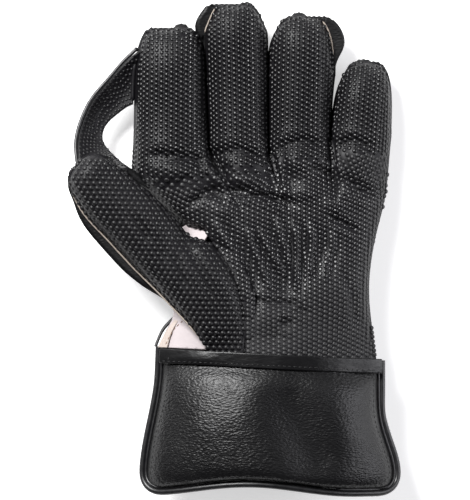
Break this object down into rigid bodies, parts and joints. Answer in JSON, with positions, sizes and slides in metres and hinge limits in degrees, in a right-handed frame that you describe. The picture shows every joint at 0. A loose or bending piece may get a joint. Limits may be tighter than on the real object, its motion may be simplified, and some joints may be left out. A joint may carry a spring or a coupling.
{
  "type": "wicketkeeping glove",
  "caption": "Left-hand wicketkeeping glove, palm up, with a pimpled rubber facing, a webbed thumb, a leather back and a padded cuff with an open mouth.",
  "frame": {"origin": "middle of the glove's box, on the surface it lies on", "axes": "+Y from the cuff to the fingertips, +Z out of the palm, +X towards the little finger"},
  "size_m": [0.2192, 0.3202, 0.066],
  "materials": {
    "rubber_black": "pimpled, satin",
    "leather_black": "pebble grain, satin",
    "piping_black": "smooth, semi-gloss",
    "leather_white": "smooth, matte",
    "tape_cream": "woven, matte"
  },
  "bodies": {
    "root": {"palm_facing": "rubber_black", "hand_back": "leather_black", "index_back": "leather_black", "middle_back": "leather_black", "ring_back": "leather_black", "little_back": "leather_black", "thumb_facing": "rubber_black", "thumb_back": "leather_black", "catching_web": "rubber_black", "web_piping": "piping_black", "wrist_gusset": "leather_white", "gusset_piping": "piping_black", "gusset_tape": "tape_cream", "crotch_leather": "leather_white", "cuff_palm_pad": "leather_black", "cuff_back_pad": "leather_black", "cuff_piping": "piping_black", "cuff_back_piping": "piping_black", "cuff_binding": "leather_black"}
  },
  "joints": []
}
